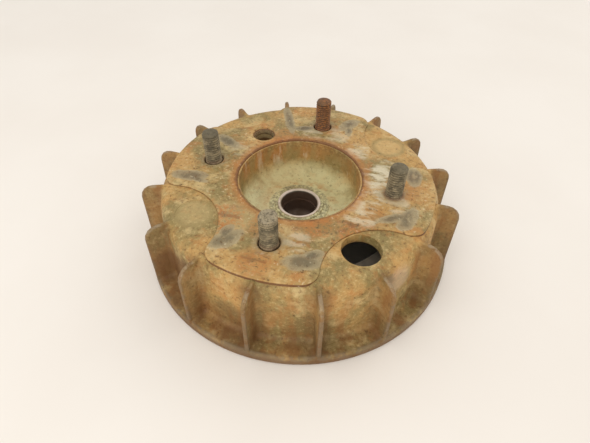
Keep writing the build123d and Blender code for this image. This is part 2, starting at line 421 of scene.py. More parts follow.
class Finish:
    """A material under construction, read in Object coordinates."""

    def __init__(self, name):
        self.material = bpy.data.materials.new(name)
        self.material.use_nodes = True
        self.tree = self.material.node_tree
        self.shader = self.tree.nodes["Principled BSDF"]
        self.place = self.add("ShaderNodeTexCoord", {})[3]
        self.x, self.y, self.z = self.split(self.place)
        self.radius = self.level(self.x, self.y)
        self.base = None

    def add(self, kind, settings, *inputs, **named):
        """Adds a node with its settings, then values or links for its sockets, and returns its outputs."""
        node = self.tree.nodes.new(kind)
        for name, value in settings.items():
            setattr(node, name, value)
        for key, value in [*enumerate(inputs), *named.items()]:
            socket = node.inputs[key if isinstance(key, int) else key.replace("_", " ").title()]
            if isinstance(value, Field):
                self.tree.links.new(value.socket, socket)
            elif value is not None:
                socket.default_value = value
        return [Field(self, socket) for socket in node.outputs]

    def measure(self, operation, *vectors):
        """A length, or the distance between two points."""
        return self.add("ShaderNodeVectorMath", {"operation": operation}, *vectors)[1]

    def split(self, vector):
        """The three parts of a vector."""
        return self.add("ShaderNodeSeparateXYZ", {}, vector)

    def level(self, across, along):
        """Distance from the origin in plan."""
        return self.measure("LENGTH", self.add("ShaderNodeCombineXYZ", {}, across, along, 0.0)[0])

    def noise(self, scale, detail=4.0, roughness=0.55, distortion=0.0, stretch=None, offset=0.0):
        """Cloudy noise from 0 to 1, with a scale per metre."""
        place = self.place
        if stretch or offset:
            place = self.add(
                "ShaderNodeMapping", {}, self.place, (offset, offset * 0.7, offset * 0.3), (0, 0, 0),
                stretch or (1, 1, 1),
            )[0]
        return self.add(
            "ShaderNodeTexNoise", {}, place,
            Scale=scale, Detail=detail, Roughness=roughness, Distortion=distortion,
        )[0]

    def mix(self, factor, first, second, blend="MIX"):
        """A colour between two colours, or blended another way."""
        settings = {"data_type": "RGBA", "blend_type": blend}
        unused_sockets = [None] * 5
        return self.add("ShaderNodeMix", settings, factor, *unused_sockets, first, second)[2]

    def lay(self, amount, tone, blend="MIX"):
        """Lays a tone over the base colour."""
        self.base = self.mix(amount, self.base, tone, blend)

    def patch(self, x, y, long, wide, degrees, ragged=None, amount=0.0):
        """Distance from the middle of an oval on the top face, 1 at its ragged edge, with sizes in metres."""
        moved = self.add(
            "ShaderNodeMapping", {"vector_type": "TEXTURE"}, self.place, (x, y, PLATE_TOP),
            (0, 0, math.radians(degrees)), (long, wide, 1.0),
        )[0]
        distance = self.level(*self.split(moved)[:2])
        if ragged is not None:
            distance = distance + (ragged - 0.5) * amount
        return distance

    def spot(self, point, radius, ragged=None, amount=0.0):
        """1 near a point, fading to 0 at a radius."""
        distance = self.measure("DISTANCE", self.place, tuple(point)) / radius
        if ragged is not None:
            distance = distance + (ragged - 0.5) * amount
        return distance.step(1.0, 0.55)

    def plate_spot(self, radius, bearing, reach, ragged, amount):
        """A spot on the plate's top face, with radius and reach in millimetres."""
        return self.spot((*on_circle(radius * MM, bearing), PLATE_TOP), reach * MM, ragged, amount)

    def wall_spot(self, radius, bearing, height, reach, ragged, amount):
        """A spot on the casting's wall, with radius, height and reach in millimetres."""
        return self.spot((*on_circle(radius * MM, bearing), height * MM), reach * MM, ragged, amount)

    def relief(self, *layers):
        """A normal from height fields laid on each other, each with its depth in mm and its strength."""
        normal = None
        for height, depth, strength in layers:
            under = {"Normal": normal} if normal else {}
            normal = self.add(
                "ShaderNodeBump", {}, Strength=strength, Distance=depth * MM, Height=height, **under
            )[0]
        return normal

    def paint(self, roughness, metallic=None, normal=None, specular=0.5):
        """Connects the base colour and the other finished fields to the shader."""
        fields = {"Base Color": self.base, "Roughness": roughness, "Metallic": metallic, "Normal": normal}
        for name, value in fields.items():
            if isinstance(value, Field):
                self.tree.links.new(value.socket, self.shader.inputs[name])
            elif value is not None:
                self.shader.inputs[name].default_value = value
        self.shader.inputs["Specular IOR Level"].default_value = specular
        return self.material


# ---------------- finishes

# Places on the plate, seen from above: radius and bearing of the middle, reach in mm, amount
RUSTY_PLACES = (
    (54, 232, 14, 0.8), (43, 238, 10, 0.7), (38, 262, 9, 0.6), (57, 268, 9, 0.7), (37, 290, 8, 0.5),
    (34, 120, 9, 0.5), (50, 5, 9, 0.5), (42, 335, 9, 0.4), (44, 318, 11, 0.8), (53, 325, 8, 0.7),
    (35, 300, 8, 0.6),
)
WHITE_PLACES = (
    (37, 14, 11, 0.9), (45, 22, 10, 0.6), (36, 350, 9, 0.7), (37, 160, 8, 0.3), (40, 75, 9, 0.4),
    (43, 285, 7, 0.5), (38, 330, 9, 0.6), (48, 352, 7, 0.5), (36, 50, 8, 0.6), (36, 95, 7, 0.5),
)
# Darkened places on the wall: bearing, height in mm, reach in mm, amount
DARKENED_WALL_PLACES = ((236, 16, 17, 0.80), (222, 12, 15, 0.55), (262, 9, 14, 0.45), (290, 12, 12, 0.30))
# Galled places beside the studs: radius, bearing, half length and half width in mm, and turn
GALLED_PLACES = (
    (52.3, 250.1, 8.0, 4.6, 50), (48.5, 247.0, 4.5, 2.6, 80),
    (53.3, 287.1, 8.0, 4.2, 15), (50.5, 291.5, 5.0, 2.6, 40),
    (53.0, 196.9, 9.5, 3.8, 10), (49.0, 200.0, 6.0, 2.0, 350), (47.4, 159.9, 8.0, 3.4, 150),
    (49.6, 112.9, 12.5, 2.8, 115), (41.0, 103.0, 6.5, 2.2, 20),
    (52.9, 74.5, 7.5, 4.0, 60), (47.5, 72.0, 5.5, 2.0, 100), (55.0, 16.3, 7.5, 3.6, 95),
    (55.3, 345.1, 8.5, 3.6, 70), (49.5, 341.0, 8.0, 2.4, 30),
)
# Each stud's share of rust, place in the noise, dark and pale film on its cap, and wear of its thread
STUD_STATES = {
    "front": (0.12, 0.2, 0.0, 0.5, 0.6),
    "right": (0.12, 0.9, 0.45, 0.0, 0.25),
    "rear": (0.95, 1.8, 0.5, 0.0, 0.15),
    "left": (0.05, 2.6, 0.6, 0.0, 0.3),
}
RECESS_BLOOM = (0.84, 0.82, 0.50, 1.0)
SHOULDER_SMEAR = (0.60, 0.42, 0.27, 1.0)
CASTING_PIT = (0.20, 0.13, 0.07, 1.0)
PLATE_PIT = (0.20, 0.12, 0.06, 1.0)
GALLED_HEART = (0.125, 0.105, 0.066, 1.0)
STUD_OIL = (0.045, 0.042, 0.030, 1.0)
STUD_CAP = (0.045, 0.040, 0.028, 1.0)
THREAD_ROOT = (0.030, 0.022, 0.015, 1.0)
BORE_FILM = (0.075, 0.062, 0.045, 1.0)
IRON = ((0.135, 0.110, 0.080, 1.0), (0.100, 0.082, 0.058, 1.0))
DUSTY_BLACK = ((0.125, 0.104, 0.076, 1.0), (0.095, 0.080, 0.060, 1.0))
FLOOR_CLOUD = (0.80, 0.74, 0.67, 1.0)


def fin_distance(finish):
    """Distance along the wall from the nearest fin's middle plane, in metres."""
    step = FULL_TURN / sizes().fins
    angle = finish.y.maths("ARCTAN2", finish.x)
    share = (angle / step + 0.5).maths("FRACT") - 0.5
    return share.maths("ABSOLUTE") * finish.radius * step


def crust(finish, offset):
    """Lays old oxide in several tones, from clouds a finger wide to specks. Returns the fields it used."""
    paint = colours()
    clouds = finish.noise(42, 5, 0.62, offset=offset)
    drift = finish.noise(88, 6, 0.66, offset=offset + 0.7)
    blotch = finish.noise(190, 6, 0.70, offset=offset + 1.3)
    fine = finish.noise(620, 6, 0.72, offset=offset + 2.1)
    finish.base = finish.mix(clouds.step(0.40, 0.60), paint.casting, paint.casting_olive)
    finish.lay(drift.step(0.50, 0.66) * 0.65, paint.casting_pale)
    finish.lay(blotch.step(0.52, 0.66) * 0.36, paint.rust)
    finish.lay(blotch.step(0.46, 0.34) * 0.40, paint.casting_olive)
    finish.lay(fine.step(0.52, 0.64) * 0.48, paint.casting_dark)
    finish.lay(fine.step(0.46, 0.36) * 0.50, paint.casting_pale)
    return drift, blotch, fine


def lay_wall_stains_and_shade(metal, drift, blotch):
    """Rust streaks, painted shade with streaky stain beside the fins' roots, darker towards the bottom of the
    wall and in a few places, and the rim's dark edge. Returns the rim.
    """
    paint = colours()
    streaks = metal.noise(150, 5, 0.6, stretch=(1, 1, 0.2))
    on_wall = metal.radius.ramp(64, 66.8)
    low = metal.z.ramp(22, 6)
    # Painted shade with streaky stain: the wall is darkened towards each fin's root.
    fin_root_shade_and_stain = fin_distance(metal).ramp(7.5, 1.4)
    metal.lay(on_wall * streaks.step(0.48, 0.64) * 0.40, paint.rust)
    metal.lay(on_wall * fin_root_shade_and_stain * (streaks * 0.9 + 0.05), paint.casting_dark)
    metal.lay(on_wall * low * (streaks.step(0.40, 0.66) * 0.45 + 0.18), paint.casting_dark)
    for bearing, height, reach, amount in DARKENED_WALL_PLACES:
        darkened = metal.wall_spot(68, bearing, height, reach, streaks * 0.5 + drift * 0.5, 1.2)
        metal.lay(darkened * amount, paint.casting_dark)
    on_rim = metal.radius.ramp(74.5, 76.5)
    metal.lay(on_rim * blotch.step(0.42, 0.54) * 0.55, paint.stud_grey)
    metal.lay(on_rim * metal.z.ramp(4.6, 2) * 0.75, paint.casting_dark)
    return on_rim


def lay_marks(metal, drift):
    """A pale disc with an olive ring in each of the two shallow marks on the top."""
    paint = colours()
    for centre in MARK_CENTRES:
        apart = metal.measure("DISTANCE", metal.place, (*centre, CASTING_TOP)) + (drift - 0.5) * (4 * MM)
        inside = apart.step(MARK_RADIUS + 1.6 * MM, MARK_RADIUS - 1.0 * MM)
        ring = inside * apart.step(MARK_RADIUS - 3.4 * MM, MARK_RADIUS - 0.4 * MM)
        metal.lay(inside * 0.35, paint.casting_pale)
        metal.lay(ring * 0.55, paint.casting_olive)


def lay_recess(metal, drift, blotch, fine):
    """Greenish film on the recess floor, rust round the hub, and leaks down the recess wall."""
    paint = colours()
    inside_recess = metal.radius.ramp(29.7, 28.8)
    film = metal.mix(drift.step(0.44, 0.64) * 0.55, paint.recess, paint.casting_olive)
    film = metal.mix(blotch.step(0.50, 0.66) * 0.4, film, paint.casting_pale)
    film = metal.mix(metal.y.ramp(12, -4) * 0.6, film, RECESS_BLOOM)
    film = metal.mix(fine.step(0.54, 0.66) * 0.35, film, paint.casting_dark)
    round_hub = metal.radius.ramp(22, 17.8) * metal.radius.ramp(14.8, 16.6)
    film = metal.mix(round_hub * blotch.step(0.44, 0.58) * 0.42, film, paint.rust)
    toward_left = metal.x.ramp(6, -22)
    film = metal.mix(toward_left * blotch.step(0.56, 0.42) * 0.26, film, paint.rust)
    metal.lay(inside_recess * metal.z.ramp(30, 21.5) * 0.9, film)
    bend = inside_recess * metal.z.ramp(22.5, 25) * metal.z.ramp(31, 26.5)
    metal.lay(bend * drift.step(0.40, 0.58) * 0.45, paint.casting_olive)
    metal.lay(inside_recess * metal.z.ramp(30, 35) * blotch.step(0.34, 0.52) * 0.6, paint.rust)
    metal.lay(inside_recess * metal.z.ramp(34.5, 36.5) * fine.step(0.40, 0.54) * 0.65, paint.rust_deep)
    leaks = metal.noise(130, 5, 0.65, stretch=(1, 1, 0.25), offset=0.9)
    rusty_share = leaks.step(0.42, 0.58) * (toward_left * 0.5 + 0.45)
    wall_tone = metal.mix(rusty_share, paint.casting_olive, paint.rust)
    metal.lay(inside_recess * metal.z.ramp(25.5, 33) * (drift * 0.7 + 0.25), wall_tone)
    metal.lay(inside_recess * leaks.step(0.56, 0.66) * metal.z.ramp(23.5, 30) * 0.55, paint.salt)
    metal.lay(metal.spot(PIN_HOLE, 10.5 * MM) * 0.45, paint.galled)
    hub_ring = metal.radius.ramp(16, 14.6) * metal.z.ramp(22.2, 21.8)
    metal.lay(hub_ring * fine.step(0.40, 0.55) * 0.6, paint.stud_grey)


def casting_finish():
    """Weathered aluminium: tan oxide under olive and pale films, painted shade with streaky stain by the
    fins' roots, painted shade along the fins' edges and inside under the top, scuffed edges.
    """
    paint = colours()
    metal = Finish("weathered_casting")
    drift, blotch, fine = crust(metal, 0.0)
    grain = metal.noise(2100, 4, 0.65)
    on_rim = lay_wall_stains_and_shade(metal, drift, blotch)
    lay_marks(metal, drift)
    lay_recess(metal, drift, blotch, fine)
    worn = metal.add("ShaderNodeAttribute", {"attribute_name": "wear"})[2]
    scuffed = (worn * blotch.step(0.40, 0.54) * (on_rim * -0.7 + 1.0)).clamp()
    # Painted shade: the fins' free edges and the rim's corners are darkened with the stain colour.
    metal.lay(worn * 0.35, paint.casting_dark)
    metal.lay(scuffed * 0.42, paint.bare)
    # Painted shade: the casting's inside under the top, seen through the window, is darkened with the stain
    # colour.
    painted_shade_inside = metal.radius.ramp(61.2, 60.4) * metal.z.ramp(34.5, 33.5) * metal.radius.ramp(30, 31)
    metal.lay(painted_shade_inside * 0.8, paint.casting_dark)
    metal.lay(metal.wall_spot(67, 324, 27.5, 9.5, drift, 1.4) * 0.5, SHOULDER_SMEAR)
    metal.lay(metal.wall_spot(66.2, 318, 30, 5.8, blotch, 1.3) * 0.5, paint.stud_grey)
    metal.lay(fine.step(0.61, 0.67) * grain.step(0.42, 0.58) * 0.75, CASTING_PIT, "MULTIPLY")
    roughness = (grain * 0.25 + 0.50 - scuffed * 0.12).clamp()
    bumps = metal.relief((grain, 0.1, 0.7), (fine, 0.2, 0.7), (blotch, 0.5, 0.6))
    return metal.paint(roughness, metallic=scuffed * 0.3, normal=bumps, specular=0.35)


def lay_galling(steel, drift, blotch, fine, streaks):
    """Grey galled places with dark hearts and whitish edges. Returns where they are."""
    paint = colours()
    nearest = None
    ragged = drift * 0.6 + blotch * 0.4
    for radius, bearing, half_length, half_width, turn in GALLED_PLACES:
        middle = on_circle(radius * MM, bearing)
        reach = steel.patch(*middle, half_length * MM, half_width * MM, turn, ragged, 1.7)
        nearest = reach if nearest is None else nearest.least(reach)
    galled = nearest.step(1.15, 0.85)
    heart = nearest.step(0.95, 0.30)
    scratches = steel.noise(260, 4, 0.60, stretch=(1, 0.45, 1))
    grey = steel.mix(heart * scratches.step(0.34, 0.54) * 0.85, paint.galled, GALLED_HEART)
    pale_edge = galled * nearest.step(0.80, 1.05) * streaks.step(0.46, 0.60)
    grey = steel.mix(pale_edge * 0.6, grey, paint.salt)
    grey = steel.mix(fine.step(0.56, 0.68) * 0.35, grey, paint.casting_dark)
    steel.lay(galled * (fine.step(0.68, 0.50) * 0.2 + 0.66), grey)
    return galled


def plate_finish():
    """Rusted steel plate: tan and orange rust, whitish salts, and grey galled patches beside the studs."""
    paint = colours()
    steel = Finish("rusted_plate")
    drift, blotch, fine = crust(steel, 3.3)
    grain = steel.noise(2300, 4, 0.65)
    streaks = steel.noise(300, 5, 0.62, stretch=(0.35, 1, 1), offset=0.6)
    steel.lay(drift.step(0.46, 0.36) * 0.45, paint.rust)
    steel.lay(steel.plate_spot(47, 240, 17, blotch, 1.2) * 0.5, paint.casting_pale)
    for radius, bearing, reach, amount in RUSTY_PLACES:
        spot = steel.plate_spot(radius, bearing, reach, blotch, 1.3)
        steel.lay(spot * fine.step(0.62, 0.42) * amount, paint.rust)
        steel.lay(spot * streaks.step(0.50, 0.62) * amount * 0.6, paint.rust_deep)
    for radius, bearing, reach, amount in WHITE_PLACES:
        spot = steel.plate_spot(radius, bearing, reach, blotch, 1.3)
        steel.lay(spot * streaks.step(0.60, 0.42) * amount, paint.salt)
    galled = lay_galling(steel, drift, blotch, fine, streaks)
    for bearing in BEARINGS.values():
        foot = steel.plate_spot(STUD_CIRCLE / MM, bearing, 8.5, blotch, 1.0)
        steel.lay(foot * fine.step(0.62, 0.46) * 0.6, paint.galled)
        gap = steel.plate_spot(STUD_CIRCLE / MM, bearing, 5.9, fine, 0.3)
        steel.lay(gap * 0.8, paint.rust_deep)
    edge_noise = (blotch - 0.5) * (4 * MM)
    steel.lay((steel.radius + edge_noise * 1.5).ramp(35.2, 31.8) * 0.55, paint.rust)
    steel.lay((steel.radius + edge_noise).ramp(31.6, 30.3) * 0.7, paint.rust_deep)
    steel.lay(steel.z.step(PLATE_TOP - 0.25 * MM, PLATE_TOP - 0.8 * MM) * 0.85, paint.rust_deep)
    steel.lay(fine.step(0.42, 0.34) * blotch.step(0.44, 0.56) * 0.5, paint.salt)
    steel.lay(fine.step(0.58, 0.66) * grain.step(0.42, 0.58) * 0.8, PLATE_PIT, "MULTIPLY")
    roughness = (grain * 0.28 + 0.48 - galled * 0.14).clamp()
    bumps = steel.relief((grain, 0.1, 0.7), (fine, 0.3, 0.8), (blotch, 0.6, 0.6))
    return steel.paint(roughness, metallic=galled * 0.3, normal=bumps, specular=0.4)


def stud_finish(name):
    """Oily steel thread, from dark grey to red rust."""
    paint = colours()
    steel = Finish(f"stud_thread_{name}")
    rusted, offset, dark_cap, pale_cap, _ = STUD_STATES[name]
    blotch = steel.noise(260, 5, 0.62, offset=offset)
    fine = steel.noise(1200, 5, 0.66, offset=offset)
    steel.base = steel.mix(blotch.step(0.35, 0.65), paint.stud_grey, paint.galled)
    steel.lay(fine.step(0.48, 0.66) * 0.5, STUD_OIL)
    rust = steel.mix(fine.step(0.42, 0.62), paint.rust_deep, paint.rust)
    steel.lay(blotch.step(0.72 - rusted * 0.55, 0.80 - rusted * 0.55) * 0.85, rust)
    root = steel.add("ShaderNodeAttribute", {"attribute_name": "thread"})[2]
    steel.lay(root * 0.5, THREAD_ROOT)
    cap = steel.z.step(STUD_HIGH.z - 4.0 * MM, STUD_HIGH.z - 0.8 * MM)
    steel.lay(cap * blotch.step(0.36, 0.56) * dark_cap, STUD_CAP)
    steel.lay(cap * fine.step(0.62, 0.46) * pale_cap, paint.bare)
    steel.lay(steel.z.step(PLATE_TOP + 2 * MM, PLATE_TOP) * 0.4, paint.rust_deep)
    roughness = (fine * 0.25 + 0.42).clamp()
    bumps = steel.relief((fine, 0.12, 0.7))
    return steel.paint(roughness, metallic=0.35, normal=bumps, specular=0.45)


def hub_finish():
    """Machined steel: bright clean face on the hub's end, brown film down the bore."""
    paint = colours()
    steel = Finish("hub_steel")
    fine = steel.noise(700, 5, 0.6)
    blotch = steel.noise(190, 5, 0.6)
    turning = steel.noise(420, 3, 0.5, offset=0.3)
    steel.base = steel.mix(blotch.step(0.40, 0.65) * 0.5, paint.hub_steel, paint.galled)
    inside = steel.radius.ramp(9.7, 9.2)
    steel.lay(inside * 0.9, BORE_FILM)
    steel.lay(steel.z.ramp(21.2, 20) * 0.55, paint.rust_deep)
    roughness = (fine * 0.2 + 0.28 + inside * 0.2).clamp()
    bumps = steel.relief((turning, 0.06, 0.5))
    return steel.paint(roughness, metallic=0.5, normal=bumps, specular=0.5)


def plain_finish(name, tones, rust, scale, metallic, rough):
    """A worked surface of two tones with some rust in it, for the pieces that show little."""
    surface = Finish(name)
    blotch = surface.noise(scale, 5, 0.6)
    fine = surface.noise(scale * 5, 5, 0.65, offset=0.9)
    surface.base = surface.mix(blotch.step(0.38, 0.64), *tones)
    surface.lay(fine.step(0.50, 0.68) * rust, colours().rust_deep)
    roughness = (fine * 0.22 + rough).clamp()
    bumps = surface.relief((fine, 0.1, 0.6))
    return surface.paint(roughness, metallic=metallic, normal=bumps, specular=0.4)


# ---------------- casting


def casting_corners():
    """Corners of the casting's section: recess, top, wall and rim, then back along the inside."""
    size = sizes()
    floor = RECESS_FLOOR + INNER_RING_RISE
    underside = RECESS_FLOOR - RECESS_THICKNESS
    rim_top = size.rim_height
    recess = [
        (HUB_NOSE_RADIUS, RECESS_FLOOR + COLLAR_RISE, 0),
        (COLLAR_RADIUS, RECESS_FLOOR + COLLAR_RISE, 0.4 * MM),
        (COLLAR_RADIUS + 0.1 * MM, floor, 0.3 * MM),
        (FLOOR_STEP_RADIUS, floor, 0.2 * MM),
        (FLOOR_STEP_RADIUS + 0.25 * MM, RECESS_FLOOR, 0),
        (RECESS_RADIUS - 1.6 * MM, RECESS_FLOOR, RECESS_CORNER),
        (RECESS_RADIUS - 0.8 * MM, CASTING_TOP, 0),
    ]
    outside = [
        (size.wall, CASTING_TOP, size.shoulder),
        (size.wall_foot, rim_top, 2.8 * MM),
        (RIM_RADIUS - 0.2 * MM, rim_top, 1.2 * MM),
        (RIM_RADIUS, 0, 0.9 * MM),
    ]
    inside = [
        (SEAT_RADIUS, 0, 0.3 * MM),
        (SEAT_RADIUS, SEAT_TOP, 0),
        (INNER_WALL_RADIUS, SEAT_TOP, 0.5 * MM),
        (INNER_WALL_RADIUS, CEILING, 3.0 * MM),
        (CUP_RADIUS, CEILING, 3.0 * MM),
        (CUP_RADIUS - 1.0 * MM, underside, 6.0 * MM),
        (SKIRT_RADIUS, underside, 1.5 * MM),
        (SKIRT_RADIUS, SKIRT_BOTTOM, 1.0 * MM),
        (HUB_SLEEVE_RADIUS, SKIRT_BOTTOM, 0),
        (HUB_SLEEVE_RADIUS, SLEEVE_TOP, 0),
        (HUB_NOSE_RADIUS, SLEEVE_TOP, 0),
    ]
    return recess + outside + inside


def is_fin_base(face):
    """True for the strip of wall, shoulder and rim that a fin stands on."""
    middle = face.calc_center_median()
    radius = math.hypot(middle.x, middle.y)
    if abs(math.atan2(middle.y, middle.x)) > FIN_HALF_WIDTH:
        return False
    size = sizes()
    on_shoulder = middle.z > SHOULDER_START and radius > size.wall - size.shoulder + 0.3 * MM
    on_wall = radius > size.wall - 0.4 * MM and middle.z > size.rim_height - 1.15 * MM
    return on_shoulder or on_wall


def fin_edge_path(start, end):
    """Points along a fin's free edge: level top, rounded corner and upright tip, with their distances."""
    size = sizes()
    corner = Vector((size.fin_tip, start.y))
    outline = rounded([(*start, 0), (*corner, size.fin_corner), (*end, 0)], 0.4 * MM)
    stop = min(range(len(outline)), key=lambda index: (outline[index] - end).length)
    path = outline[: stop + 1]
    distances = [0.0]
    for before, after in zip(path, path[1:]):
        distances.append(distances[-1] + (after - before).length)
    return path, distances


def along(path, distances, share):
    """Point on a path at a share of its length, and the direction square to it, outwards."""
    target = share * distances[-1]
    index = max(i for i, distance in enumerate(distances[:-1]) if distance <= target + 1e-9)
    part = (target - distances[index]) / (distances[index + 1] - distances[index])
    run = (path[index + 1] - path[index]).normalized()
    return path[index].lerp(path[index + 1], part), Vector((-run.y, run.x))


def fillet_lift(distance, radius):
    """Height of a round fillet at a distance from the wall it leans on."""
    inside = min(max(radius - distance, 0), radius)
    return radius - math.sqrt(radius * radius - inside * inside)


def section_place(vertex):
    """A vertex's radius and height."""
    return Vector((math.hypot(vertex.co.x, vertex.co.y), vertex.co.z))


def section_rows(vertices):
    """Places on the section that the vertices stand at, from the top of the shoulder down to the rim."""
    rows = []
    for place in sorted((section_place(vertex) for vertex in vertices), key=lambda point: point.x - point.y):
        if not rows or (place - rows[-1]).length > ROW_GAP:
            rows.append(place)
    return rows


def nearest_row(rows, place):
    """Index of the row next to a place, and the distance to it."""
    index = min(range(len(rows)), key=lambda row: (rows[row] - place).length)
    return index, (rows[index] - place).length


def raise_fin(sector):
    """Extrudes the middle strip of a sector into a fin with a rounded edge and filleted roots."""
    size = sizes()
    edit(sector)
    pick(sector, is_fin_base)
    bpy.ops.mesh.extrude_region_move(TRANSFORM_OT_translate={"value": (0, 0, 0)})
    mesh = bmesh.from_edit_mesh(sector.data)
    crest = [vertex for vertex in mesh.verts if vertex.select]
    rows = section_rows(crest)
    run = [0.0]
    for before, after in zip(rows, rows[1:]):
        run.append(run[-1] + (after - before).length)
    path, distances = fin_edge_path(rows[0], rows[-1])
    edges = [along(path, distances, distance / run[-1]) for distance in run]
    outward = [along(rows, run, distance / run[-1])[1] for distance in run]
    heights = [(edge[0] - row).length for edge, row in zip(edges, rows)]
    for vertex in mesh.verts:
        place = section_place(vertex)
        index, apart = nearest_row(rows, place)
        half = place.x * math.sin(FIN_HALF_WIDTH)
        if vertex.select:
            point, normal = edges[index]
            inset = min(fillet_lift(half - abs(vertex.co.y), size.fin_edge), 0.45 * heights[index])
            vertex.co.x = point.x - normal.x * inset
            vertex.co.z = point.y - normal.y * inset
        elif apart < TOUCHING:
            lift = fillet_lift(abs(vertex.co.y) - half, size.fin_fillet)
            shift = outward[index] * lift * min(1.0, heights[index] / (2 * size.fin_fillet))
            angle = math.atan2(vertex.co.y, vertex.co.x)
            vertex.co += Vector((shift.x * math.cos(angle), shift.x * math.sin(angle), shift.y))
    bmesh.update_edit_mesh(sector.data)
    bpy.ops.object.mode_set(mode="OBJECT")


def casting_sector():
    """One fin with half of the wall on each side, spun column by column."""
    sector = draw_section("cast_fan_body", casting_corners(), SECTION_STRAIGHT)
    columns = [-angle for angle in reversed(COLUMNS[1:])] + list(COLUMNS)
    bpy.ops.mesh.select_all(action="SELECT")
    for start, end in zip(columns, columns[1:]):
        bpy.ops.mesh.spin(steps=1, angle=math.radians(end - start), center=(0, 0, 0), axis=(0, 0, 1))
    bpy.ops.object.mode_set(mode="OBJECT")
    middle = sum((vertex.co for vertex in sector.data.vertices), Vector())
    sector.data.transform(Matrix.Rotation(-math.atan2(middle.y, middle.x), 4, "Z"))
    close_seams(sector)
    raise_fin(sector)
    return sector


def ribs():
    """Four ribs under the top, from the cup through the stud bosses to the wall."""
    pieces = []
    for angle in BEARINGS.values():
        deselect()
        bpy.ops.mesh.primitive_cube_add(size=1, location=((INNER_WALL_RADIUS + CUP_RADIUS) / 2, 0, 0))
        rib = bpy.context.object
        rib.scale = (INNER_WALL_RADIUS - CUP_RADIUS + 2 * MM, RIB_WIDTH, CEILING + MM - RIB_BOTTOM)
        rib.location.z = (CEILING + MM + RIB_BOTTOM) / 2
        bpy.ops.object.transform_apply(location=True, rotation=True, scale=True)
        edit(rib)
        pick(rib, lambda edge: all(vertex.co.z < RIB_BOTTOM + 0.5 * MM for vertex in edge.verts), "edges")
        bpy.ops.mesh.bevel(offset=RIB_EDGE, segments=3)
        bpy.ops.object.mode_set(mode="OBJECT")
        rib.data.transform(Matrix.Rotation(math.radians(angle), 4, "Z"))
        pieces.append(rib)
    return pieces


def pin_hole_space():
    """The countersunk blind hole's space, for cutting."""
    opening = PIN_HOLE_RADIUS + PIN_HOLE_FLARE
    space = turned(
        "pin_hole_space",
        [
            (0, PLATE_TOP - PIN_HOLE_DEPTH, 0),
            (PIN_HOLE_RADIUS, PLATE_TOP - PIN_HOLE_DEPTH, 0),
            (PIN_HOLE_RADIUS, PLATE_TOP - 2 * MM, 0.3 * MM),
            (opening, PLATE_TOP - 0.2 * MM, 0.6 * MM),
            (opening + 0.3 * MM, PLATE_TOP + MM, 0),
            (0, PLATE_TOP + MM, 0),
        ],
        48,
        4 * MM,
    )
    space.data.transform(Matrix.Translation((PIN_HOLE.x, PIN_HOLE.y, 0)))
    return space


def studs_at(radius, bottom, top, around=48):
    """Plain posts where the four studs stand."""
    return [
        post("stud_space", radius, bottom, top, *on_circle(STUD_CIRCLE, angle), around)
        for angle in BEARINGS.values()
    ]


def edge_wear_and_shade_marks(piece):
    """Stores how worn each point is, a mask also used for painted shade: 1 along the fins' free edges and the
    rim's corners, 0 elsewhere.
    """
    size = sizes()
    wear = piece.data.attributes.new("wear", "FLOAT", "POINT")
    step = FULL_TURN / size.fins
    values = []
    for vertex in piece.data.vertices:
        radius = math.hypot(vertex.co.x, vertex.co.y)
        angle = math.atan2(vertex.co.y, vertex.co.x)
        aside = radius * math.sin(abs((angle + step / 2) % step - step / 2))
        height = vertex.co.z
        on_fin = aside < 1.05 * MM and radius > size.wall + 1.5 * MM and height > size.rim_height + MM
        along_tip = radius > size.fin_tip - 0.4 * MM + (CASTING_TOP - height) * 0.028
        along_top = height > CASTING_TOP - 0.4 * MM
        corner = Vector((radius - (size.fin_tip - size.fin_corner), height - (CASTING_TOP - size.fin_corner)))
        along_corner = min(corner) > 0 and corner.length > size.fin_corner - 0.4 * MM
        on_edge = on_fin and (along_tip or along_top or along_corner)
        on_rim = radius > RIM_RADIUS - 1.2 * MM and height < size.rim_height + 0.2 * MM
        values.append(1.0 if on_edge else 0.75 if on_rim else 0.0)
    wear.data.foreach_set("value", values)


class FLYWHEEL_OT_casting(bpy.types.Operator):
    """Casts the fan body: recess, wall, fins, rim, bosses, window and blind marks"""
    bl_idname = "flywheel.casting"
    bl_label = "Fan Body"

    def execute(self, context):
        sector = casting_sector()
        step = FULL_TURN / sizes().fins
        copies = [copy_turned(sector, index * step) for index in range(1, sizes().fins)]
        casting = join([sector, *copies], "cast_fan_body")
        close_seams(casting)
        combine(casting, ribs(), "UNION")
        bosses = studs_at(BOSS_RADIUS, BOSS_BOTTOM, CEILING + MM)
        bosses.append(post("boss", PIN_BOSS_RADIUS, BOSS_BOTTOM, CEILING + MM, PIN_HOLE.x, PIN_HOLE.y))
        combine(casting, bosses, "UNION")
        combine(casting, [plate_blank("plate_space", PLATE_SEAT, PLATE_TOP + MM)], "DIFFERENCE")
        cuts = studs_at(BUSH_RADIUS, BOSS_BOTTOM - MM, PLATE_TOP)
        cuts.append(post("window", WINDOW_RADIUS, WINDOW_CUT_BOTTOM, PLATE_TOP, *WINDOW_CENTRE, 72))
        mark_floor = CASTING_TOP - MARK_DEPTH
        cuts += [post("mark", MARK_RADIUS, mark_floor, PLATE_TOP, *centre, 64) for centre in MARK_CENTRES]
        cuts.append(pin_hole_space())
        combine(casting, cuts, "DIFFERENCE")
        close_seams(casting)
        edge_wear_and_shade_marks(casting)
        smooth(casting)
        keep(casting, "cast_body", casting_finish(), "fan_body", "cooling_fins")
        return {"FINISHED"}


# ---------------- drive plate


def arc(centre, radius, start, end, step=math.radians(2.0)):
    """Points of an arc about a centre, between two angles."""
    count = max(2, round(abs(end - start) / step))
    angles = [start + (end - start) * index / count for index in range(count + 1)]
    return [centre + Vector((math.cos(angle), math.sin(angle), 0)) * radius for angle in angles]


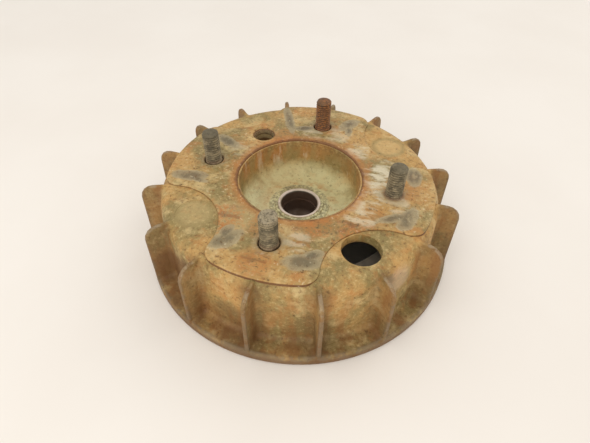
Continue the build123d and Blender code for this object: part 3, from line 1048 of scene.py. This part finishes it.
def lobe_arcs(lobe, side, scallop_distance):
    """Points from a lobe's middle round its corner to the middle of the scallop on one side."""
    size = sizes()
    diagonal = lobe + side * math.radians(45)
    inner = PLATE_RADIUS - size.lobe_corner
    reach = size.scallop + size.lobe_corner
    cosine = (inner**2 + scallop_distance**2 - reach**2) / (2 * inner * scallop_distance)
    corner_angle = diagonal - side * math.acos(cosine)
    corner = Vector((math.cos(corner_angle), math.sin(corner_angle), 0)) * inner
    scallop = Vector((math.cos(diagonal), math.sin(diagonal), 0)) * scallop_distance
    meet = math.atan2(*(scallop - corner).yx)
    leave = math.atan2(*(corner - scallop).yx)
    swing = (meet - corner_angle) % FULL_TURN
    turn = swing if side > 0 else swing - FULL_TURN
    back = (diagonal + math.pi - leave) % FULL_TURN
    sweep = back if side < 0 else back - FULL_TURN
    return (
        arc(Vector(), PLATE_RADIUS, lobe, corner_angle)
        + arc(corner, size.lobe_corner, corner_angle, corner_angle + turn, math.radians(8))[1:]
        + arc(scallop, size.scallop, leave, leave + sweep, math.radians(4))[1:]
    )


def plate_blank(name, bottom, top):
    """The four-lobed shape as a solid without holes."""
    size = sizes()
    pin_bearing = math.degrees(math.atan2(PIN_HOLE.y, PIN_HOLE.x))
    points = []
    for bearing in BEARINGS.values():
        before, after = (
            size.shallow_centre if abs(bearing + turn - pin_bearing) < 1 else size.scallop_centre
            for turn in (-45, 45)
        )
        lobe = math.radians(bearing)
        points += lobe_arcs(lobe, -1, before)[::-1][1:-1] + lobe_arcs(lobe, 1, after)
    plate = draw_chain(name, [point + Vector((0, 0, bottom)) for point in points])
    bpy.ops.mesh.select_all(action="SELECT")
    bpy.ops.mesh.remove_doubles(threshold=ROW_GAP)
    bpy.ops.mesh.select_all(action="SELECT")
    bpy.ops.mesh.edge_face_add()
    bpy.ops.mesh.extrude_region_move(TRANSFORM_OT_translate={"value": (0, 0, top - bottom)})
    close_seams(plate)
    return plate


def flared_hole(name, radius, x, y, around=64):
    """Space of a hole through the plate with a worn lip, for cutting."""
    lip = sizes().plate_edge
    space = turned(
        name,
        [
            (0, PLATE_SEAT - MM, 0),
            (radius, PLATE_SEAT - MM, 0),
            (radius, PLATE_TOP - lip, 0.2 * MM),
            (radius + lip * 1.3, PLATE_TOP + 0.1 * MM, 0),
            (radius + lip * 1.3, PLATE_TOP + MM, 0),
            (0, PLATE_TOP + MM, 0),
        ],
        around,
        8 * MM,
    )
    space.data.transform(Matrix.Translation((x, y, 0)))
    return space


class FLYWHEEL_OT_plate(bpy.types.Operator):
    """Cuts the four-lobed drive plate and wears its edges round"""
    bl_idname = "flywheel.plate"
    bl_label = "Drive Plate"

    def execute(self, context):
        plate = plate_blank("drive_plate", PLATE_SEAT, PLATE_TOP)
        edit(plate)
        pick(plate, lambda edge: all(abs(v.co.z - PLATE_TOP) < TOUCHING for v in edge.verts), "edges")
        bpy.ops.mesh.bevel(offset=sizes().plate_edge, segments=3)
        bpy.ops.object.mode_set(mode="OBJECT")
        places = [on_circle(STUD_CIRCLE, angle) for angle in BEARINGS.values()]
        holes = [flared_hole("hole", PLATE_HOLE_RADIUS, *place) for place in places]
        holes.append(flared_hole("bore", RECESS_RADIUS, 0, 0, 144))
        holes.append(pin_hole_space())
        combine(plate, holes, "DIFFERENCE")
        close_seams(plate)
        smooth(plate, 40)
        keep(plate, "plate_steel", plate_finish(), "mounting_plate")
        return {"FINISHED"}


# ---------------- studs


def thread_wave(turns):
    """Depth of a worn V thread, from 0 on the crest to 1 in the root, for a phase in turns."""
    height = abs((turns % 1.0) - 0.5) * 2
    return min(1.0, max(0.0, (height - 0.25) / 0.55))


def stud_blank(name, x, y, worn):
    """A threaded stud: a fine turned blank whose wall is drawn in along the thread's helix."""
    size = sizes()
    radius = STUD_RADIUS
    shank = (STUD_HIGH.x - STUD_LOW.x) / 2
    bottom, top = STUD_LOW.z, STUD_HIGH.z
    stud = turned(
        name,
        [
            (0, bottom, 0),
            (shank, bottom, 0.9 * MM),
            (shank, PLATE_TOP - 0.4 * MM, 0.3 * MM),
            (radius, PLATE_TOP + 0.2 * MM, 0),
            (radius, top - STUD_CHAMFER, 1.1 * MM),
            (radius * 0.45, top, 2 * MM),
            (0, top, 0),
        ],
        48,
        THREAD_STRAIGHT,
    )
    roots = [0.0] * len(stud.data.vertices)
    for index, vertex in enumerate(stud.data.vertices):
        point = vertex.co
        around = math.atan2(point.y, point.x)
        out = math.hypot(point.x, point.y)
        if out < radius * 0.6 or out > radius + TOUCHING or point.z < PLATE_TOP:
            continue
        turns = point.z / size.thread_pitch - around / FULL_TURN
        rough = noise.noise(Vector((point.x + x, point.y + y, point.z)) * 420) * 0.5 + 0.5
        battered = noise.noise(Vector((point.x + x, point.y + y, point.z * 0.6)) * 150) * 0.5 + 0.5
        depth = thread_wave(turns) * (1.0 - worn * battered) + 0.18 * rough
        run_out = min(1.0, max(0.25, (top - point.z) / RUN_OUT), (point.z - PLATE_TOP) / MM + 0.3)
        roots[index] = min(1.0, depth * run_out)
        shrink = 1 - size.thread_depth * depth * run_out / out
        vertex.co = Vector((point.x * shrink, point.y * shrink, point.z))
    thread = stud.data.attributes.new("thread", "FLOAT", "POINT")
    thread.data.foreach_set("value", roots)
    stud.data.transform(Matrix.Translation((x, y, 0)))
    return stud


class FLYWHEEL_OT_studs(bpy.types.Operator):
    """Cuts the four threaded studs, each with its own wear"""
    bl_idname = "flywheel.studs"
    bl_label = "Studs"

    def execute(self, context):
        for name, angle in BEARINGS.items():
            thread_wear = STUD_STATES[name][-1]
            stud = stud_blank(f"threaded_stud_{name}", *on_circle(STUD_CIRCLE, angle), thread_wear)
            smooth(stud, 60)
            keep(stud, "stud_steel", stud_finish(name), f"stud_{name}")
        return {"FINISHED"}


# ---------------- pieces that keep their CAD shape


def dress(material, *nodes):
    """Gives CAD pieces a finish in their own material slots."""
    for name in nodes:
        for slot in frame["nodes"][name].material_slots:
            slot.material = material


class FLYWHEEL_OT_hub(bpy.types.Operator):
    """Finishes the tapered hub's bright end and dark bore"""
    bl_idname = "flywheel.hub"
    bl_label = "Hub Finish"

    def execute(self, context):
        dress(hub_finish(), "hub")
        return {"FINISHED"}


class FLYWHEEL_OT_rotor(bpy.types.Operator):
    """Finishes the rotor under the fan: flux ring, magnets, cage, snap ring, bushes and pins"""
    bl_idname = "flywheel.rotor"
    bl_label = "Rotor Finishes"

    def execute(self, context):
        paint = colours()
        iron = plain_finish("flux_ring_iron", IRON, 0.4, 110, 0.6, 0.42)
        ferrite = plain_finish("magnet_ferrite", DUSTY_BLACK, 0.1, 300, 0.0, 0.5)
        plastic = plain_finish("cage_plastic", DUSTY_BLACK, 0.1, 240, 0.0, 0.45)
        spring = plain_finish("spring_steel", (paint.galled, paint.stud_grey), 0.5, 220, 0.7, 0.35)
        bush = plain_finish("bush_steel", (paint.stud_grey, paint.galled), 0.7, 240, 0.6, 0.4)
        dress(iron, "flux_ring")
        dress(ferrite, *[f"magnet_{index}" for index in range(1, 7)])
        dress(plastic, "magnet_cage")
        dress(spring, "snap_ring", *[f"lock_pin_{index}" for index in range(1, 4)])
        dress(bush, *[f"stud_bush_{name}" for name in BEARINGS])
        return {"FINISHED"}


# ---------------- stage


FLOOR_RADIUS = 4.0
DAYLIGHT = (1.0, 0.99, 0.97)
# Name, place, target, size in metres, watts and tint
LIGHTS = (
    ("key", (-0.35, -0.25, 0.9), (0, 0, 0), 0.7, 1.4, DAYLIGHT),
    ("back", (0.45, 0.6, 0.7), (0, 0, 0.02), 0.6, 1.2, DAYLIGHT),
    ("front", (0.05, -0.9, 0.32), (0, 0, 0.02), 0.8, 3.6, (1.0, 0.97, 0.93)),
)
SURROUND = (1.0, 0.98, 0.95, 1.0)
SURROUND_STRENGTH = 0.82
CAMERA_PLACE = (0.0418, -0.1509, 0.1671)
CAMERA_TARGET = (0.0067, -0.0304, 0.0393)
CAMERA_ROLL = 0.7
CAMERA_LENS = 25.42


def aim(item, place, target, roll=0.0):
    """Places a light or camera and points it at a target."""
    direction = Vector(target) - Vector(place)
    turn = direction.to_track_quat("-Z", "Y") @ Quaternion((0, 0, 1), math.radians(roll))
    item.location = place
    item.rotation_mode = "QUATERNION"
    item.rotation_quaternion = turn


def soft_light(name, place, target, size, power, tint):
    """A large square light."""
    light = bpy.data.lights.new(name, "AREA")
    light.size = size
    light.energy = power
    light.color = tint
    item = bpy.data.objects.new(name, light)
    bpy.context.scene.collection.objects.link(item)
    aim(item, place, target)


class FLYWHEEL_OT_stage(bpy.types.Operator):
    """Lays the pale floor, lights it softly and places the camera"""
    bl_idname = "flywheel.stage"
    bl_label = "Stage"

    def execute(self, context):
        deselect()
        bpy.ops.mesh.primitive_circle_add(
            vertices=96, radius=FLOOR_RADIUS, fill_type="NGON", location=(0, 0, 0)
        )
        floor = bpy.context.object
        floor.name = "floor"
        finish = Finish("pale_floor")
        cloud = finish.noise(9, 4, 0.5)
        finish.base = finish.mix(cloud.step(0.3, 0.7) * 0.35, colours().floor, FLOOR_CLOUD)
        floor.data.materials.append(finish.paint(0.6, specular=0.2))
        for light in LIGHTS:
            soft_light(*light)
        scene = context.scene
        scene.world = scene.world or bpy.data.worlds.new("studio")
        scene.world.use_nodes = True
        background = scene.world.node_tree.nodes["Background"]
        background.inputs["Color"].default_value = SURROUND
        background.inputs["Strength"].default_value = SURROUND_STRENGTH
        scene.view_settings.view_transform = "Standard"
        camera = bpy.data.cameras.new("camera")
        camera.lens = CAMERA_LENS
        camera.sensor_width = 36.0
        camera.clip_start = 0.01
        item = bpy.data.objects.new("camera", camera)
        scene.collection.objects.link(item)
        aim(item, CAMERA_PLACE, CAMERA_TARGET, CAMERA_ROLL)
        scene.camera = item
        return {"FINISHED"}


# ---------------- panel and run


class FLYWHEEL_PT_pieces(bpy.types.Panel):
    """Sizes, colours and the flywheel's pieces in the order they are made"""
    bl_idname = "FLYWHEEL_PT_pieces"
    bl_label = "Fan Flywheel"
    bl_space_type = "VIEW_3D"
    bl_region_type = "UI"
    bl_category = "Flywheel"

    def draw(self, context):
        for operator in OPERATORS:
            self.layout.operator(operator.bl_idname)
        for group in (context.scene.flywheel_sizes, context.scene.flywheel_colours):
            box = self.layout.box()
            for name in group.__annotations__:
                box.prop(group, name)


OPERATORS = (
    FLYWHEEL_OT_casting,
    FLYWHEEL_OT_plate,
    FLYWHEEL_OT_studs,
    FLYWHEEL_OT_hub,
    FLYWHEEL_OT_rotor,
    FLYWHEEL_OT_stage,
)
CLASSES = (FlywheelSizes, FlywheelColours, *OPERATORS, FLYWHEEL_PT_pieces)


def register():
    for cls in CLASSES:
        bpy.utils.register_class(cls)
    bpy.types.Scene.flywheel_sizes = PointerProperty(type=FlywheelSizes)
    bpy.types.Scene.flywheel_colours = PointerProperty(type=FlywheelColours)


def unregister():
    del bpy.types.Scene.flywheel_colours
    del bpy.types.Scene.flywheel_sizes
    for cls in reversed(CLASSES):
        bpy.utils.unregister_class(cls)


def main():
    """Makes every piece in order."""
    register()
    for operator in OPERATORS:
        group, name = operator.bl_idname.split(".")
        getattr(getattr(bpy.ops, group), name)()


if __name__ == "__main__":
    main()
